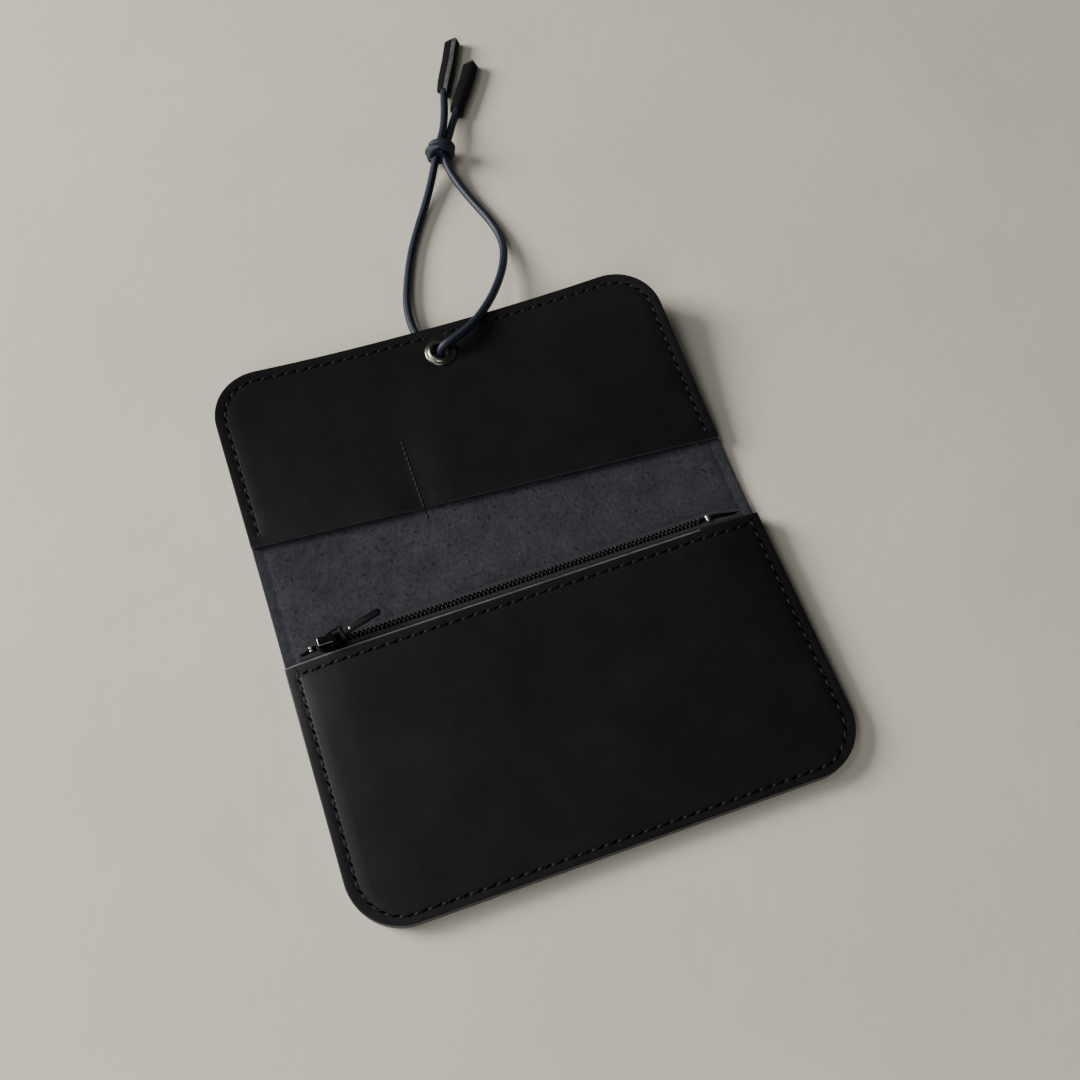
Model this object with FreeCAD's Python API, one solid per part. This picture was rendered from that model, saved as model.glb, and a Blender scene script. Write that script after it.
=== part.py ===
"""Open long wallet in black leather: a folding cover with a coin pocket, a card pocket, a zip and an elastic cord.

Millimetres. +X runs along the zip to its bottom stop, +Y from the pocket's bottom edge to the flap's far edge,
+Z up. The origin is at the middle of the wallet's footprint, on the table. The wallet lies open, with the flap's
far edge a little above the table.
"""
import math
import os

import FreeCAD
import Part

from FreeCAD import Placement, Rotation, Vector

os.makedirs("parts", exist_ok=True)

# ---- driving dimensions -------------------------------------------------------------------------------------
WIDTH = 195.0             # along the zip
EDGE_Y = -116.2           # the pocket's bottom edge
CORNER_R = 21.0           # the four outer corners
COVER_T = 1.8             # outer leather
PANEL_T = 1.8             # front of the coin pocket
PARTITION_T = 1.4         # back of the coin pocket
CARD_T = 1.5              # card pocket panel
LAYER_GAP = 0.1           # air between two layers that touch on the real wallet

POCKET_MID = 105.0        # bottom edge to the pocket's mouth, on the middle line
POCKET_SLANT = 2.8        # how much longer the pocket is at its right end than at its left
SPINE_START = 114.2       # bottom edge to the first fold
SPINE_LENGTH = 12.5       # between the two folds
FLAP_LENGTH = 105.85      # second fold to the flap's far edge
FOLD_TILT = 1.75          # degrees that each fold is bent at rest
FOLD_GAP = 0.15           # from a fold's axis to each side's edge

SLOT_LIFT = 1.2           # the bill slot's height at its mouth
TAPE_ROOM = 2.0           # the coin pocket's height at its mouth
PUFF = 0.9                # more height at the coin pocket's middle

MOUTH_LEFT = 30.3         # second fold to the card pocket's mouth, at the left edge
MOUTH_RIGHT = 18.3        # and at the right edge
DIVIDER_X = -28.0         # the stitched line that makes two card pockets
DIVIDER_LENGTH = 35.0

SEAM_INSET = 4.2          # seam to edge
STITCH_PITCH = 5.0
STITCH_LENGTH = 3.9
THREAD_R = 0.45
THREAD_SINK = 0.15        # how deep a stitch beds into the leather

CHAIN_V = 3.9             # pocket's mouth to the zip's middle line
CHAIN_Z = 7.0
CHAIN_LEFT = -84.0
CHAIN_RIGHT = 75.5
TOOTH_PITCH = 1.7
TOOTH_WIDTH = 0.9
TOOTH_HEIGHT = 1.6
TOOTH_REACH = 1.7
CHAIN_SLIT = 0.8          # straight channel between the two rows, where the slider's bridge runs
TAPE_T = 0.4
TAPE_END = 91.0           # the tapes reach this far each way
SLIDER_LEFT = -83.8
SLIDER_LENGTH = 11.0
SLIDER_WIDTH = 6.4
PLATE_T = 0.8
PLATE_CLEAR = 1.0         # chain's middle to a plate
PIVOT_X = -78.5
PIVOT_Z = 9.9
TAB_YAW = 6.0             # degrees from the zip's line
TAB_PITCH = 8.0
TAB_LENGTH = 22.0

EYELET_X = 0.3
EYELET_S = 93.2           # second fold to the eyelet
EYELET_R = 6.7
EYELET_HOLE_R = 3.5

CORD_D = 3.7
TIP_LENGTH = 36.0
TIP_WIDTH = 7.6
TIP_THICK = 4.6

HALF = WIDTH / 2
SLANT = math.degrees(math.atan(POCKET_SLANT / WIDTH))
SPINE_Y = EDGE_Y + SPINE_START
FLAP_Y = SPINE_Y + SPINE_LENGTH * math.cos(math.radians(FOLD_TILT))
FLAP_Z = COVER_T + SPINE_LENGTH * math.sin(math.radians(FOLD_TILT))

# The elastic cord: one length through the eyelet, whose two halves meet on the eyelet's axis.
FRONT_ROUTE = [
    (0.3, 103.557, 7.272), (0.3, 103.38, 10.167), (2.0, 104.3, 12.8), (7.0, 106.6, 13.8), (16.2, 110.9, 13.5),
    (27.9, 121.7, 10.8), (37.7, 134.7, 7.2), (43.9, 147.5, 4.4), (46.4, 158.6, 2.6), (45.2, 170.5, 1.9),
    (41.1, 183.4, 1.9), (37.2, 196.6, 2.9), (35.1, 208.4, 4.8), (37.6, 216.2, 5.2), (41.6, 223.4, 4.8),
    (46.6, 232.9, 3.7), (51.4, 240.8, 2.9), (53.6, 244.4, 2.7),
]
BACK_ROUTE = [
    (0.3, 103.557, 7.272), (0.3, 103.679, 5.276), (-0.6, 105.7, 3.5), (-3.8, 112.0, 3.1), (-7.0, 122.6, 3.0),
    (-5.6, 136.6, 2.6), (-0.8, 150.7, 2.1), (4.7, 163.9, 1.9), (11.6, 176.6, 1.9), (19.7, 189.6, 2.4),
    (26.4, 201.6, 3.8), (30.9, 211.0, 5.4), (34.4, 218.1, 6.2), (39.4, 227.6, 5.9), (44.2, 240.2, 4.4),
    (48.1, 252.3, 3.0), (50.4, 257.8, 2.7),
]
KNOT_AT = (34.8, 215.0, 5.8)
KNOT_SIZE = (15.6, 13.0, 11.0)
FRONT_TIP_AT = (51.0, 239.9, 2.7)
FRONT_TIP_TO = (69.1, 270.1, 2.7)
BACK_TIP_AT = (48.9, 254.6, 2.7)
BACK_TIP_TO = (64.9, 288.6, 2.7)


def save(shape, node):
    """Write one node's STEP file and print its volume."""
    shape.exportStep("parts/" + node + ".step")
    print(f"{node:22s} {len(shape.Solids):4d} solids {shape.Volume:10.1f} mm3 valid {shape.isValid()}")


def smooth(value, low, high):
    """0 below low, 1 above high, and an even curve between them."""
    t = min(max((value - low) / (high - low), 0.0), 1.0)
    return t * t * (3 - 2 * t)


def mouth_y(x):
    """The pocket's mouth, measured from the bottom edge."""
    return POCKET_MID + POCKET_SLANT * x / WIDTH


def prism(points, z_low, z_high):
    """A straight prism over an outline of (x, y) points."""
    corners = [Vector(x, y, z_low) for x, y in points]
    wire = Part.makePolygon(corners + corners[:1])
    return Part.Face(wire).extrude(Vector(0, 0, z_high - z_low))


def rounded(shape, corners, radius):
    """Round the vertical edges that stand at the given (x, y) corners."""
    edges = []
    for edge in shape.Edges:
        a, b = edge.Vertexes[0].Point, edge.Vertexes[-1].Point
        upright = abs(a.x - b.x) + abs(a.y - b.y) < 1e-6
        if upright and any(math.hypot(a.x - x, a.y - y) < 1e-3 for x, y in corners):
            edges.append(edge)
    return shape.makeFillet(radius, edges)


def block(x0, x1, y0, y1, z0, z1):
    """A box between two corners."""
    return Part.makeBox(x1 - x0, y1 - y0, z1 - z0, Vector(x0, y0, z0))


def sheet(height, y_low, y_high, thickness, half_width, rows=15, columns=17):
    """A leather sheet whose underside is height(x, u), where u runs from the pocket's bottom edge."""
    grid = []
    for i in range(columns):
        x = -half_width + 2 * half_width * i / (columns - 1)
        line = []
        for j in range(rows):
            u = y_low + (y_high - y_low) * j / (rows - 1)
            line.append(Vector(x, EDGE_Y + u, height(x, u)))
        grid.append(line)
    surface = Part.BSplineSurface()
    surface.interpolate(grid)
    return surface.toShape().extrude(Vector(0, 0, thickness))


# ---- cover ------------------------------------------------------------------------------------------------
def cover_back():
    left, right = (-HALF, EDGE_Y), (HALF, EDGE_Y)
    top = EDGE_Y + SPINE_START - FOLD_GAP
    body = prism([left, right, (HALF, top), (-HALF, top)], 0, COVER_T)
    return rounded(body, [left, right], CORNER_R)


def on_spine(shape):
    """Put a shape from the spine's own frame, where y starts at the first fold and z at the inner face."""
    shape.Placement = Placement(Vector(0, SPINE_Y, COVER_T), Rotation(Vector(1, 0, 0), FOLD_TILT))
    return shape


def on_flap(shape):
    """Put a shape from the flap's own frame, where y starts at the second fold and z at the inner face."""
    shape.Placement = Placement(Vector(0, FLAP_Y, FLAP_Z), Rotation(Vector(1, 0, 0), 2 * FOLD_TILT))
    return shape


def cover_spine():
    return on_spine(block(-HALF, HALF, FOLD_GAP, SPINE_LENGTH - FOLD_GAP, -COVER_T, 0))


def eyelet_bore(radius):
    return Part.makeCylinder(radius, 20, Vector(EYELET_X, EYELET_S, -10))


def cover_flap():
    left, right = (-HALF, FLAP_LENGTH), (HALF, FLAP_LENGTH)
    body = prism([(-HALF, FOLD_GAP), (HALF, FOLD_GAP), right, left], -COVER_T, 0)
    body = rounded(body, [left, right], CORNER_R)
    return on_flap(body.cut(eyelet_bore(EYELET_HOLE_R + 0.7)))


def card_pocket_panel():
    left, right = (-HALF, FLAP_LENGTH), (HALF, FLAP_LENGTH)
    body = prism([(-HALF, MOUTH_LEFT), (HALF, MOUTH_RIGHT), right, left], LAYER_GAP, LAYER_GAP + CARD_T)
    body = rounded(body, [left, right], CORNER_R)
    return on_flap(body.cut(eyelet_bore(EYELET_HOLE_R + 0.7)))


# ---- coin pocket ---------------------------------------------------------------------------------------------
def partition_under(x, u):
    return COVER_T + LAYER_GAP + SLOT_LIFT * smooth(u, 10, POCKET_MID - 2)


def front_under(x, u):
    middle = smooth(HALF - 8 - abs(x), 0, 40)
    puff = PUFF * middle * smooth(u, 8, 60) * (1 - smooth(u, POCKET_MID - 35, POCKET_MID))
    mouth = TAPE_ROOM * smooth(u, POCKET_MID - 40, POCKET_MID - 6)
    return partition_under(x, u) + PARTITION_T + LAYER_GAP + mouth + puff


def front_top(x, y):
    return front_under(x, y - EDGE_Y) + PANEL_T


def pocket_outline(past_mouth):
    """The pocket's outline, with its slanted mouth."""
    left, right = (-HALF, EDGE_Y), (HALF, EDGE_Y)
    mouth_right = (HALF, EDGE_Y + mouth_y(HALF) + past_mouth)
    mouth_left = (-HALF, EDGE_Y + mouth_y(-HALF) + past_mouth)
    return rounded(prism([left, right, mouth_right, mouth_left], -1, 20), [left, right], CORNER_R)


def coin_pocket_back():
    body = sheet(partition_under, -2, POCKET_MID + 6, PARTITION_T, HALF + 2)
    return body.common(pocket_outline(1.0))


def coin_pocket_front():
    body = sheet(front_under, -2, POCKET_MID + 6, PANEL_T, HALF + 2)
    return body.common(pocket_outline(0.0))


# ---- zip ----------------------------------------------------------------------------------------------------
def on_zip(shape):
    """Put a shape from the zip's own frame: x along the zip, y from the pocket's mouth, z from the table."""
    shape.Placement = Placement(Vector(0, EDGE_Y + POCKET_MID, 0), Rotation(Vector(0, 0, 1), SLANT))
    return shape


def profile(points, x_low, x_high):
    """A shape with one (y, z) section, in the zip's own frame."""
    corners = [Vector(x_low, y, z) for y, z in points]
    face = Part.Face(Part.makePolygon(corners + corners[:1]))
    return face.extrude(Vector(x_high - x_low, 0, 0))


def zip_tape_front():
    """From under the pocket's front to the front row of teeth."""
    under = front_under(0, POCKET_MID) - LAYER_GAP - TAPE_T
    level = CHAIN_Z - TAPE_T / 2
    end = CHAIN_V - CHAIN_SLIT / 2 - 0.9
    low = [(-6.0, under - 0.15), (0.1, under), (1.2, level), (end, level)]
    high = [(y, z + TAPE_T) for y, z in reversed(low)]
    return on_zip(profile(low + high, -TAPE_END, TAPE_END))


def zip_tape_back():
    """From the back row of teeth, over the edge and down onto the partition."""
    floor = partition_under(0, POCKET_MID) + PARTITION_T + 0.05
    start = CHAIN_V + CHAIN_SLIT / 2 + 0.9
    out = CHAIN_V + SLIDER_WIDTH / 2 + 0.5
    top = CHAIN_Z + TAPE_T / 2
    points = [
        (start, top), (out, top), (out, floor), (-6.0, floor), (-6.0, floor + TAPE_T),
        (out - TAPE_T, floor + TAPE_T), (out - TAPE_T, top - TAPE_T), (start, top - TAPE_T),
    ]
    return on_zip(profile(points, -TAPE_END, TAPE_END))


def tooth_row(side):
    """One row of teeth. side is -1 for the front row and 1 for the back row."""
    near = CHAIN_V + side * CHAIN_SLIT / 2
    far = near + side * TOOTH_REACH
    start = CHAIN_LEFT + (0 if side < 0 else TOOTH_PITCH / 2)
    count = int((CHAIN_RIGHT - start) / TOOTH_PITCH)
    teeth = []
    for i in range(count):
        x = start + i * TOOTH_PITCH
        low, high = min(near, far), max(near, far)
        teeth.append(block(x, x + TOOTH_WIDTH, low, high, CHAIN_Z - TOOTH_HEIGHT / 2, CHAIN_Z + TOOTH_HEIGHT / 2))
    return on_zip(Part.makeCompound(teeth))


def zip_top_stops():
    stops = []
    for side in (-1, 1):
        near = CHAIN_V + side * CHAIN_SLIT / 2
        far = near + side * TOOTH_REACH
        stops.append(block(-86.8, -85.2, min(near, far), max(near, far), CHAIN_Z - 0.9, CHAIN_Z + 0.9))
    return on_zip(Part.makeCompound(stops))


def zip_bottom_stop():
    reach = CHAIN_SLIT / 2 + TOOTH_REACH
    stop = block(76.4, 78.6, CHAIN_V - reach, CHAIN_V + reach, CHAIN_Z - 1.0, CHAIN_Z + 1.0)
    return on_zip(stop)


def slider_body():
    """Two plates round the chain, joined by a thin bridge that runs between the two rows of teeth."""
    right = SLIDER_LEFT + SLIDER_LENGTH
    shape = None
    for side in (-1, 1):
        inner = CHAIN_Z + side * PLATE_CLEAR
        outer = inner + side * PLATE_T
        half = SLIDER_WIDTH / 2
        outline = [
            (SLIDER_LEFT + 1.5, CHAIN_V - half), (right, CHAIN_V - half + 0.5), (right, CHAIN_V + half - 0.5),
            (SLIDER_LEFT + 1.5, CHAIN_V + half), (SLIDER_LEFT, CHAIN_V + 1.6), (SLIDER_LEFT, CHAIN_V - 1.6),
        ]
        plate = prism(outline, min(inner, outer), max(inner, outer))
        shape = plate if shape is None else shape.fuse(plate)
        for flange in (-1, 1):
            y_out = CHAIN_V + flange * (half - 0.5)
            y_in = y_out - flange * 0.45
            lip = CHAIN_Z + side * 0.5
            rail = block(SLIDER_LEFT + 2.2, right - 0.4, min(y_in, y_out), max(y_in, y_out),
                         min(lip, inner), max(lip, inner))
            shape = shape.fuse(rail)
    bridge = block(SLIDER_LEFT + 0.6, SLIDER_LEFT + 2.8, CHAIN_V - 0.25, CHAIN_V + 0.25,
                   CHAIN_Z - PLATE_CLEAR, CHAIN_Z + PLATE_CLEAR)
    return on_zip(shape.fuse(bridge).removeSplitter())


def slider_bail():
    """The arch on the slider's top plate that holds the pull tab."""
    top = CHAIN_Z + PLATE_CLEAR + PLATE_T
    low, high = CHAIN_V - 1.6, CHAIN_V + 1.6
    arch = block(PIVOT_X - 4.4, PIVOT_X + 2.2, low, high, top, top + 3.2)
    arch = arch.cut(block(PIVOT_X - 3.5, PIVOT_X + 1.3, low - 1, high + 1, top - 1, top + 2.3))
    long_edges = [e for e in arch.Edges if abs(e.Vertexes[0].Point.z - top - 3.2) < 1e-6
                  and abs(e.Vertexes[-1].Point.z - top - 3.2) < 1e-6
                  and abs(e.Vertexes[0].Point.x - e.Vertexes[-1].Point.x) < 1e-6]
    return on_zip(arch.makeFillet(0.6, long_edges))


def pull_tab():
    """A yoke on a cross pin under the bail, and a slim rounded bar with a small hole."""
    arm_in, arm_out = 2.35, 2.95
    pin = Part.makeCylinder(0.45, 2 * arm_out, Vector(0, -arm_out, 0), Vector(0, 1, 0))
    shape = pin
    for side in (-1, 1):
        low, high = sorted((side * arm_in, side * arm_out))
        shape = shape.fuse(block(-0.5, 5.6, low, high, -0.5, 0.5))
    shape = shape.fuse(block(4.8, 6.4, -arm_out, arm_out, -0.5, 0.5))
    bar = block(6.0, TAB_LENGTH - 1.4, -1.4, 1.4, -0.45, 0.45)
    end = Part.makeCylinder(1.4, 0.9, Vector(TAB_LENGTH - 1.4, 0, -0.45))
    hole = Part.makeCylinder(0.5, 4, Vector(9.0, 0, -2))
    shape = shape.fuse(bar).fuse(end).cut(hole).removeSplitter()
    turn = Rotation(Vector(0, 0, 1), SLANT + TAB_YAW) * Rotation(Vector(0, 1, 0), -TAB_PITCH)
    base = Placement(Vector(0, EDGE_Y + POCKET_MID, 0), Rotation(Vector(0, 0, 1), SLANT))
    shape.Placement = Placement(base.multVec(Vector(PIVOT_X, CHAIN_V, PIVOT_Z)), turn)
    return shape


# ---- eyelet ---------------------------------------------------------------------------------------------------
def ring(section):
    """A turned ring about the eyelet's axis, from (radius, height) points in the flap's own frame."""
    corners = [Vector(EYELET_X + r, EYELET_S, z) for r, z in section]
    face = Part.Face(Part.makePolygon(corners + corners[:1]))
    return on_flap(face.revolve(Vector(EYELET_X, EYELET_S, 0), Vector(0, 0, 1), 360))


def eyelet():
    base = LAYER_GAP + CARD_T + 0.05
    low = -COVER_T - 0.75
    return ring([
        (EYELET_HOLE_R, low), (EYELET_HOLE_R + 0.5, low), (EYELET_HOLE_R + 0.5, base), (EYELET_R, base),
        (EYELET_R, base + 0.35), (EYELET_R - 0.7, base + 0.95), (EYELET_R - 1.6, base + 1.2),
        (EYELET_HOLE_R + 0.5, base + 1.0), (EYELET_HOLE_R, base + 0.5),
    ])


def eyelet_washer():
    inner = EYELET_HOLE_R + 0.55
    high = -COVER_T - 0.05
    return ring([(inner, high), (inner, high - 0.6), (EYELET_R - 1.0, high - 0.6), (EYELET_R - 0.4, high - 0.25),
                 (EYELET_R - 0.4, high)])


# ---- seams ------------------------------------------------------------------------------------------------------
def along(path):
    """Stitch places on a path of straight runs and arcs, each as (x, y, heading in degrees)."""
    total = sum(edge.Length for edge in path)
    count = int(round(total / STITCH_PITCH))
    step = total / count
    places = []
    for i in range(count):
        left = (i + 0.5) * step
        for edge in path:
            if left <= edge.Length:
                break
            left -= edge.Length
        parameter = edge.getParameterByLength(left)
        point = edge.valueAt(parameter)
        heading = edge.tangentAt(parameter)
        places.append((point.x, point.y, math.degrees(math.atan2(heading.y, heading.x))))
    return places


def line(a, b):
    return Part.LineSegment(Vector(a[0], a[1], 0), Vector(b[0], b[1], 0)).toShape()


def arc(centre, radius, start, end):
    """An arc from one angle to another, in degrees, the shorter way round."""
    points = []
    for angle in (start, (start + end) / 2, end):
        turn = math.radians(angle)
        points.append(Vector(centre[0] + radius * math.cos(turn), centre[1] + radius * math.sin(turn), 0))
    return Part.Arc(*points).toShape()


def stitches(places, height, skip=None):
    """A group of separate short rods of thread on the surface height(x, y)."""
    rods = []
    for x, y, heading in places:
        if skip and skip(x, y):
            continue
        turn = math.radians(heading)
        dx, dy = math.cos(turn) * STITCH_LENGTH / 2, math.sin(turn) * STITCH_LENGTH / 2
        a = Vector(x - dx, y - dy, height(x - dx, y - dy) + THREAD_R - THREAD_SINK)
        b = Vector(x + dx, y + dy, height(x + dx, y + dy) + THREAD_R - THREAD_SINK)
        rods.append(Part.makeCylinder(THREAD_R, (b - a).Length, a, b - a))
    return Part.makeCompound(rods)


def seam_pocket():
    """Down the left side, along the bottom and up the right side of the coin pocket."""
    x, r = HALF - SEAM_INSET, CORNER_R - SEAM_INSET
    low, knee = EDGE_Y + SEAM_INSET, EDGE_Y + CORNER_R
    path = [
        line((-x, EDGE_Y + mouth_y(-x) - 2), (-x, knee)), arc((-HALF + CORNER_R, knee), r, 180, 270),
        line((-HALF + CORNER_R, low), (HALF - CORNER_R, low)), arc((HALF - CORNER_R, knee), r, 270, 360),
        line((x, knee), (x, EDGE_Y + mouth_y(x) - 2)),
    ]
    return stitches(along(path), front_top)


def seam_zip():
    x = HALF - SEAM_INSET - 3
    y = EDGE_Y - SEAM_INSET
    return stitches(along([line((-x, y + mouth_y(-x)), (x, y + mouth_y(x)))]), front_top)


def flap_top(x, y):
    return LAYER_GAP + CARD_T


def seam_flap():
    """Up the left side, along the far edge and down the right side of the card pocket."""
    x, r = HALF - SEAM_INSET, CORNER_R - SEAM_INSET
    high, knee = FLAP_LENGTH - SEAM_INSET, FLAP_LENGTH - CORNER_R
    path = [
        line((-x, MOUTH_LEFT + 2), (-x, knee)), arc((-HALF + CORNER_R, knee), r, 180, 90),
        line((-HALF + CORNER_R, high), (HALF - CORNER_R, high)), arc((HALF - CORNER_R, knee), r, 90, 0),
        line((x, knee), (x, MOUTH_RIGHT + 2)),
    ]

    def at_eyelet(px, py):
        return math.hypot(px - EYELET_X, py - EYELET_S) < EYELET_R + 2.2

    return on_flap(stitches(along(path), flap_top, at_eyelet))


def seam_divider():
    start = MOUTH_LEFT + (MOUTH_RIGHT - MOUTH_LEFT) * (DIVIDER_X + HALF) / WIDTH + 1
    path = [line((DIVIDER_X, start), (DIVIDER_X, start + DIVIDER_LENGTH))]
    return on_flap(stitches(along(path), flap_top))


# ---- elastic cord -------------------------------------------------------------------------------------------------
def cord_tube(route, name):
    """A round tube of straight runs joined by tangent arcs, each arc as large as its two runs allow."""
    points = [Vector(*p) for p in route]
    edges, radii = [], []
    last = points[0]
    for i in range(1, len(points) - 1):
        back, ahead = points[i - 1] - points[i], points[i + 1] - points[i]
        short = min(back.Length, ahead.Length)
        turn = math.pi - back.getAngle(ahead)
        back.normalize()
        ahead.normalize()
        cut = 0.45 * short
        radius = cut / math.tan(turn / 2)
        radii.append(radius)
        start, end = points[i] + back * cut, points[i] + ahead * cut
        inward = back + ahead
        inward.normalize()
        middle = points[i] + inward * (radius / math.cos(turn / 2) - radius)
        edges.append(Part.LineSegment(last, start).toShape())
        edges.append(Part.Arc(start, middle, end).toShape())
        last = end
    edges.append(Part.LineSegment(last, points[-1]).toShape())
    wire = Part.Wire(edges)
    heading = points[1] - points[0]
    section = Part.Wire(Part.makeCircle(CORD_D / 2, points[0], heading))
    tube = wire.makePipeShell([section], True, False)
    ideal = math.pi * (CORD_D / 2) ** 2 * wire.Length
    print(f"{name}: length {wire.Length:.1f} mm, radii {' '.join(f'{r:.1f}' for r in radii)},"
          f" volume {tube.Volume / ideal:.4f} of section x length")
    return tube


def cord_knot():
    """The closed outer shape of the knot, lying across the two strands."""
    ball = Part.makeSphere(1.0)
    matrix = FreeCAD.Matrix()
    matrix.scale(Vector(*(size / 2 for size in KNOT_SIZE)))
    ball = ball.transformGeometry(matrix)
    ball.Placement = Placement(Vector(*KNOT_AT), Rotation(Vector(0, 0, 1), -16))
    return ball


def cord_tip(at, to):
    """A strip of leather folded round the cord's end, with a pointed far end."""
    start, aim = Vector(*at), Vector(*to) - Vector(*at)
    half = TIP_WIDTH / 2
    point = TIP_LENGTH - 3.2
    outline = [(0, -half + 0.6), (point, -half), (TIP_LENGTH, 0), (point, half), (0, half - 0.6)]
    body = prism(outline, -TIP_THICK / 2, TIP_THICK / 2)
    yaw = math.degrees(math.atan2(aim.y, aim.x))
    pitch = math.degrees(math.atan2(aim.z, math.hypot(aim.x, aim.y)))
    turn = Rotation(Vector(0, 0, 1), yaw) * Rotation(Vector(0, 1, 0), -pitch)
    body.Placement = Placement(start, turn)
    return body


NODES = {
    "cover_back": cover_back,
    "cover_spine": cover_spine,
    "cover_flap": cover_flap,
    "card_pocket_panel": card_pocket_panel,
    "coin_pocket_back": coin_pocket_back,
    "coin_pocket_front": coin_pocket_front,
    "zip_tape_front": zip_tape_front,
    "zip_tape_back": zip_tape_back,
    "zip_teeth_front": lambda: tooth_row(-1),
    "zip_teeth_back": lambda: tooth_row(1),
    "zip_top_stops": zip_top_stops,
    "zip_bottom_stop": zip_bottom_stop,
    "slider_body": slider_body,
    "slider_bail": slider_bail,
    "pull_tab": pull_tab,
    "eyelet": eyelet,
    "eyelet_washer": eyelet_washer,
    "seam_pocket": seam_pocket,
    "seam_zip": seam_zip,
    "seam_flap": seam_flap,
    "seam_divider": seam_divider,
    "cord_front_strand": lambda: cord_tube(FRONT_ROUTE, "front strand"),
    "cord_back_strand": lambda: cord_tube(BACK_ROUTE, "back strand"),
    "cord_knot": cord_knot,
    "cord_tip_front": lambda: cord_tip(FRONT_TIP_AT, FRONT_TIP_TO),
    "cord_tip_back": lambda: cord_tip(BACK_TIP_AT, BACK_TIP_TO),
}

for node_name, make in NODES.items():
    save(make(), node_name)
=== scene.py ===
# %% [markdown]
# A long wallet, lying open
# The wallet is a folded piece of black leather. One half carries a zipped coin pocket, the other a card
# pocket, and an elastic cord goes through an eyelet at the flap's edge. The imported CAD model is loaded
# first: every piece below is made in the same place, and all but the cover's two halves ride on one of its
# bodies.

import math

import bpy
from mathutils import Matrix, Vector


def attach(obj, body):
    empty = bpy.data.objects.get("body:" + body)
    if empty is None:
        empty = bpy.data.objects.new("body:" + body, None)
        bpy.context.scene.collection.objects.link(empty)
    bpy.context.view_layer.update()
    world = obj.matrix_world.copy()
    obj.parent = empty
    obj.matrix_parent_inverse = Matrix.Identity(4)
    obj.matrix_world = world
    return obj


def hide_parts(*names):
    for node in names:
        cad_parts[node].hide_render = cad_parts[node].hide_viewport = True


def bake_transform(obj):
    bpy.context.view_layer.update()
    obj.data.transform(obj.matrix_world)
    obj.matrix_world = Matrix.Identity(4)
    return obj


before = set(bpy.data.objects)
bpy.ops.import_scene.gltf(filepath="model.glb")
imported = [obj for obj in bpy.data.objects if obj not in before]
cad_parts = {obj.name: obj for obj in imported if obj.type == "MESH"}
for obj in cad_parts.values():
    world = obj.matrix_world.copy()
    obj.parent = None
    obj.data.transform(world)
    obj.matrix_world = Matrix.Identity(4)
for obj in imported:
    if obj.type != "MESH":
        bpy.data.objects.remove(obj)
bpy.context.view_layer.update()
MM = 0.001

# %% [markdown]
# The camera comes first, because it decides what is worth detailing. It looks down at the wallet from the
# pocket's side, a little from the left, and is turned slightly about its own line of sight.

# %% Camera
AZIMUTH, ELEVATION, ROLL = math.radians(-21.8), math.radians(63.9), math.radians(2.5)
DISTANCE, TARGET = 0.4707, Vector((0.0121, 0.0099, 0.0))

ahead = Vector((-math.cos(ELEVATION) * math.sin(AZIMUTH), math.cos(ELEVATION) * math.cos(AZIMUTH),
                -math.sin(ELEVATION)))
level = Vector((math.cos(AZIMUTH), math.sin(AZIMUTH), 0))
upward = level.cross(ahead)
side = level * math.cos(ROLL) + upward * math.sin(ROLL)
top = upward * math.cos(ROLL) - level * math.sin(ROLL)
bpy.ops.object.select_all(action="DESELECT")
bpy.ops.object.camera_add()
camera = bpy.context.object
camera.name = "camera"
camera.data.lens = 39.05
camera.data.clip_start = 0.01
turned_to = Matrix((side, top, -ahead)).transposed().to_4x4()
camera.matrix_world = Matrix.Translation(TARGET - ahead * DISTANCE) @ turned_to
bpy.context.scene.camera = camera
print("camera at", [round(c, 3) for c in camera.location])

# %% [markdown]
# Small helpers keep each step short. An operator works on everything that is selected, so the first helper
# clears the selection. The others move in and out of edit mode, select by place, and apply modifiers.

# %% Helpers for modelling
def clear():
    """Leave edit mode and select nothing."""
    if bpy.context.object and bpy.context.object.mode != "OBJECT":
        bpy.ops.object.mode_set(mode="OBJECT")
    bpy.ops.object.select_all(action="DESELECT")


def take(piece):
    """Make one object the active, selected one."""
    clear()
    piece.select_set(True)
    bpy.context.view_layer.objects.active = piece


def pick(piece, what, test):
    """In edit mode, select only the VERT, EDGE or FACE elements that pass the test."""
    bpy.ops.object.mode_set(mode="EDIT")
    bpy.ops.mesh.select_mode(type=what)
    bpy.ops.mesh.select_all(action="DESELECT")
    bpy.ops.object.mode_set(mode="OBJECT")
    mesh = piece.data
    group = {"VERT": mesh.vertices, "EDGE": mesh.edges, "FACE": mesh.polygons}[what]
    for item in group:
        item.select = bool(test(item))
    bpy.ops.object.mode_set(mode="EDIT")


def middle(mesh, edge):
    """The middle point of an edge."""
    a, b = (mesh.vertices[i].co for i in edge.vertices)
    return (a + b) / 2


def modify(piece, kind, **settings):
    """Add a modifier, set it and apply it."""
    take(piece)
    modifier = piece.modifiers.new(kind.lower(), kind)
    for key, value in settings.items():
        setattr(modifier, key, value)
    bpy.ops.object.modifier_apply(modifier=modifier.name)


def settle(piece):
    """Put an object's place, turn and size into its mesh."""
    take(piece)
    bpy.ops.object.transform_apply(location=True, rotation=True, scale=True)


def smooth_shade(piece, degrees=35):
    take(piece)
    bpy.ops.object.shade_smooth_by_angle(angle=math.radians(degrees))


def reshape(piece, move):
    """Move every point of a mesh: move takes and gives millimetres."""
    for v in piece.data.vertices:
        v.co = Vector(move(*(v.co / MM))) * MM
    piece.data.update()


def slope(value, low, high):
    """0 below low, 1 above high, an even curve between."""
    t = min(max((value - low) / (high - low), 0.0), 1.0)
    return t * t * (3 - 2 * t)


print("helpers ready, a millimetre is", MM, "m")


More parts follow.
